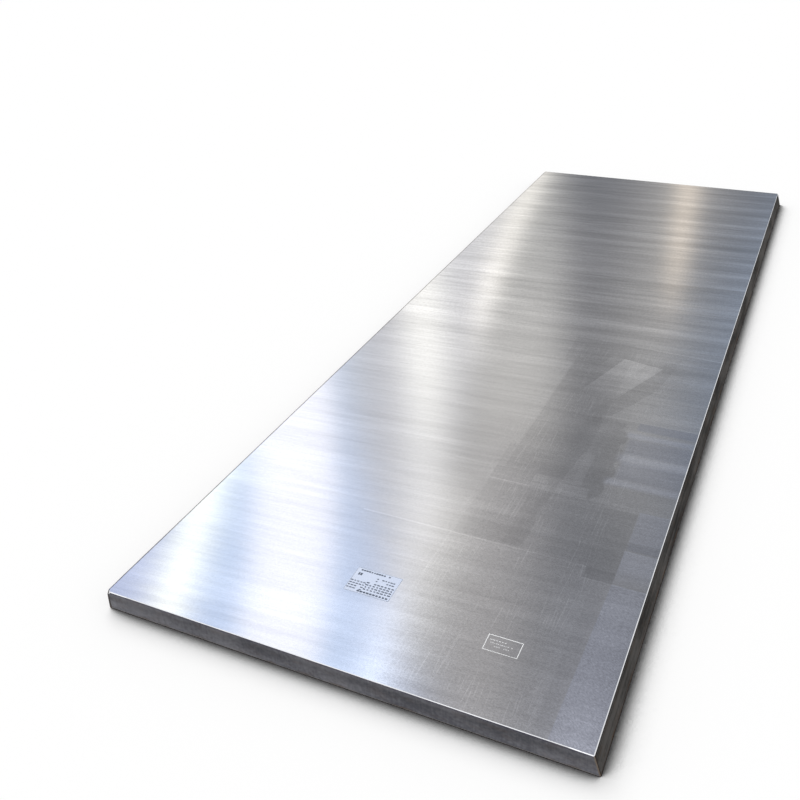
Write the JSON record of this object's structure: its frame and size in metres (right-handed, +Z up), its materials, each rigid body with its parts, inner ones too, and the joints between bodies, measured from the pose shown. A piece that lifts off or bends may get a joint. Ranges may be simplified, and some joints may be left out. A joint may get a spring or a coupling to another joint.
{
  "type": "steel plate",
  "caption": "Thick rectangular steel plate with a ground upper face, square-cut ends, dark rolled sides and lightly broken edges, lying flat as raw stock for machining or fabrication.",
  "frame": {"origin": "middle of the underside, on the surface that the plate lies on", "axes": "+Z up out of the ground face, +Y along the length away from the front end, +X across the width to the right"},
  "size_m": [1.24, 3.658, 0.055],
  "materials": {
    "steel": "ground bright on the upper face and the edge breaks, dark mill scale with rust tints on the sides and ends"
  },
  "bodies": {
    "root": {"plate": "steel"}
  },
  "joints": []
}
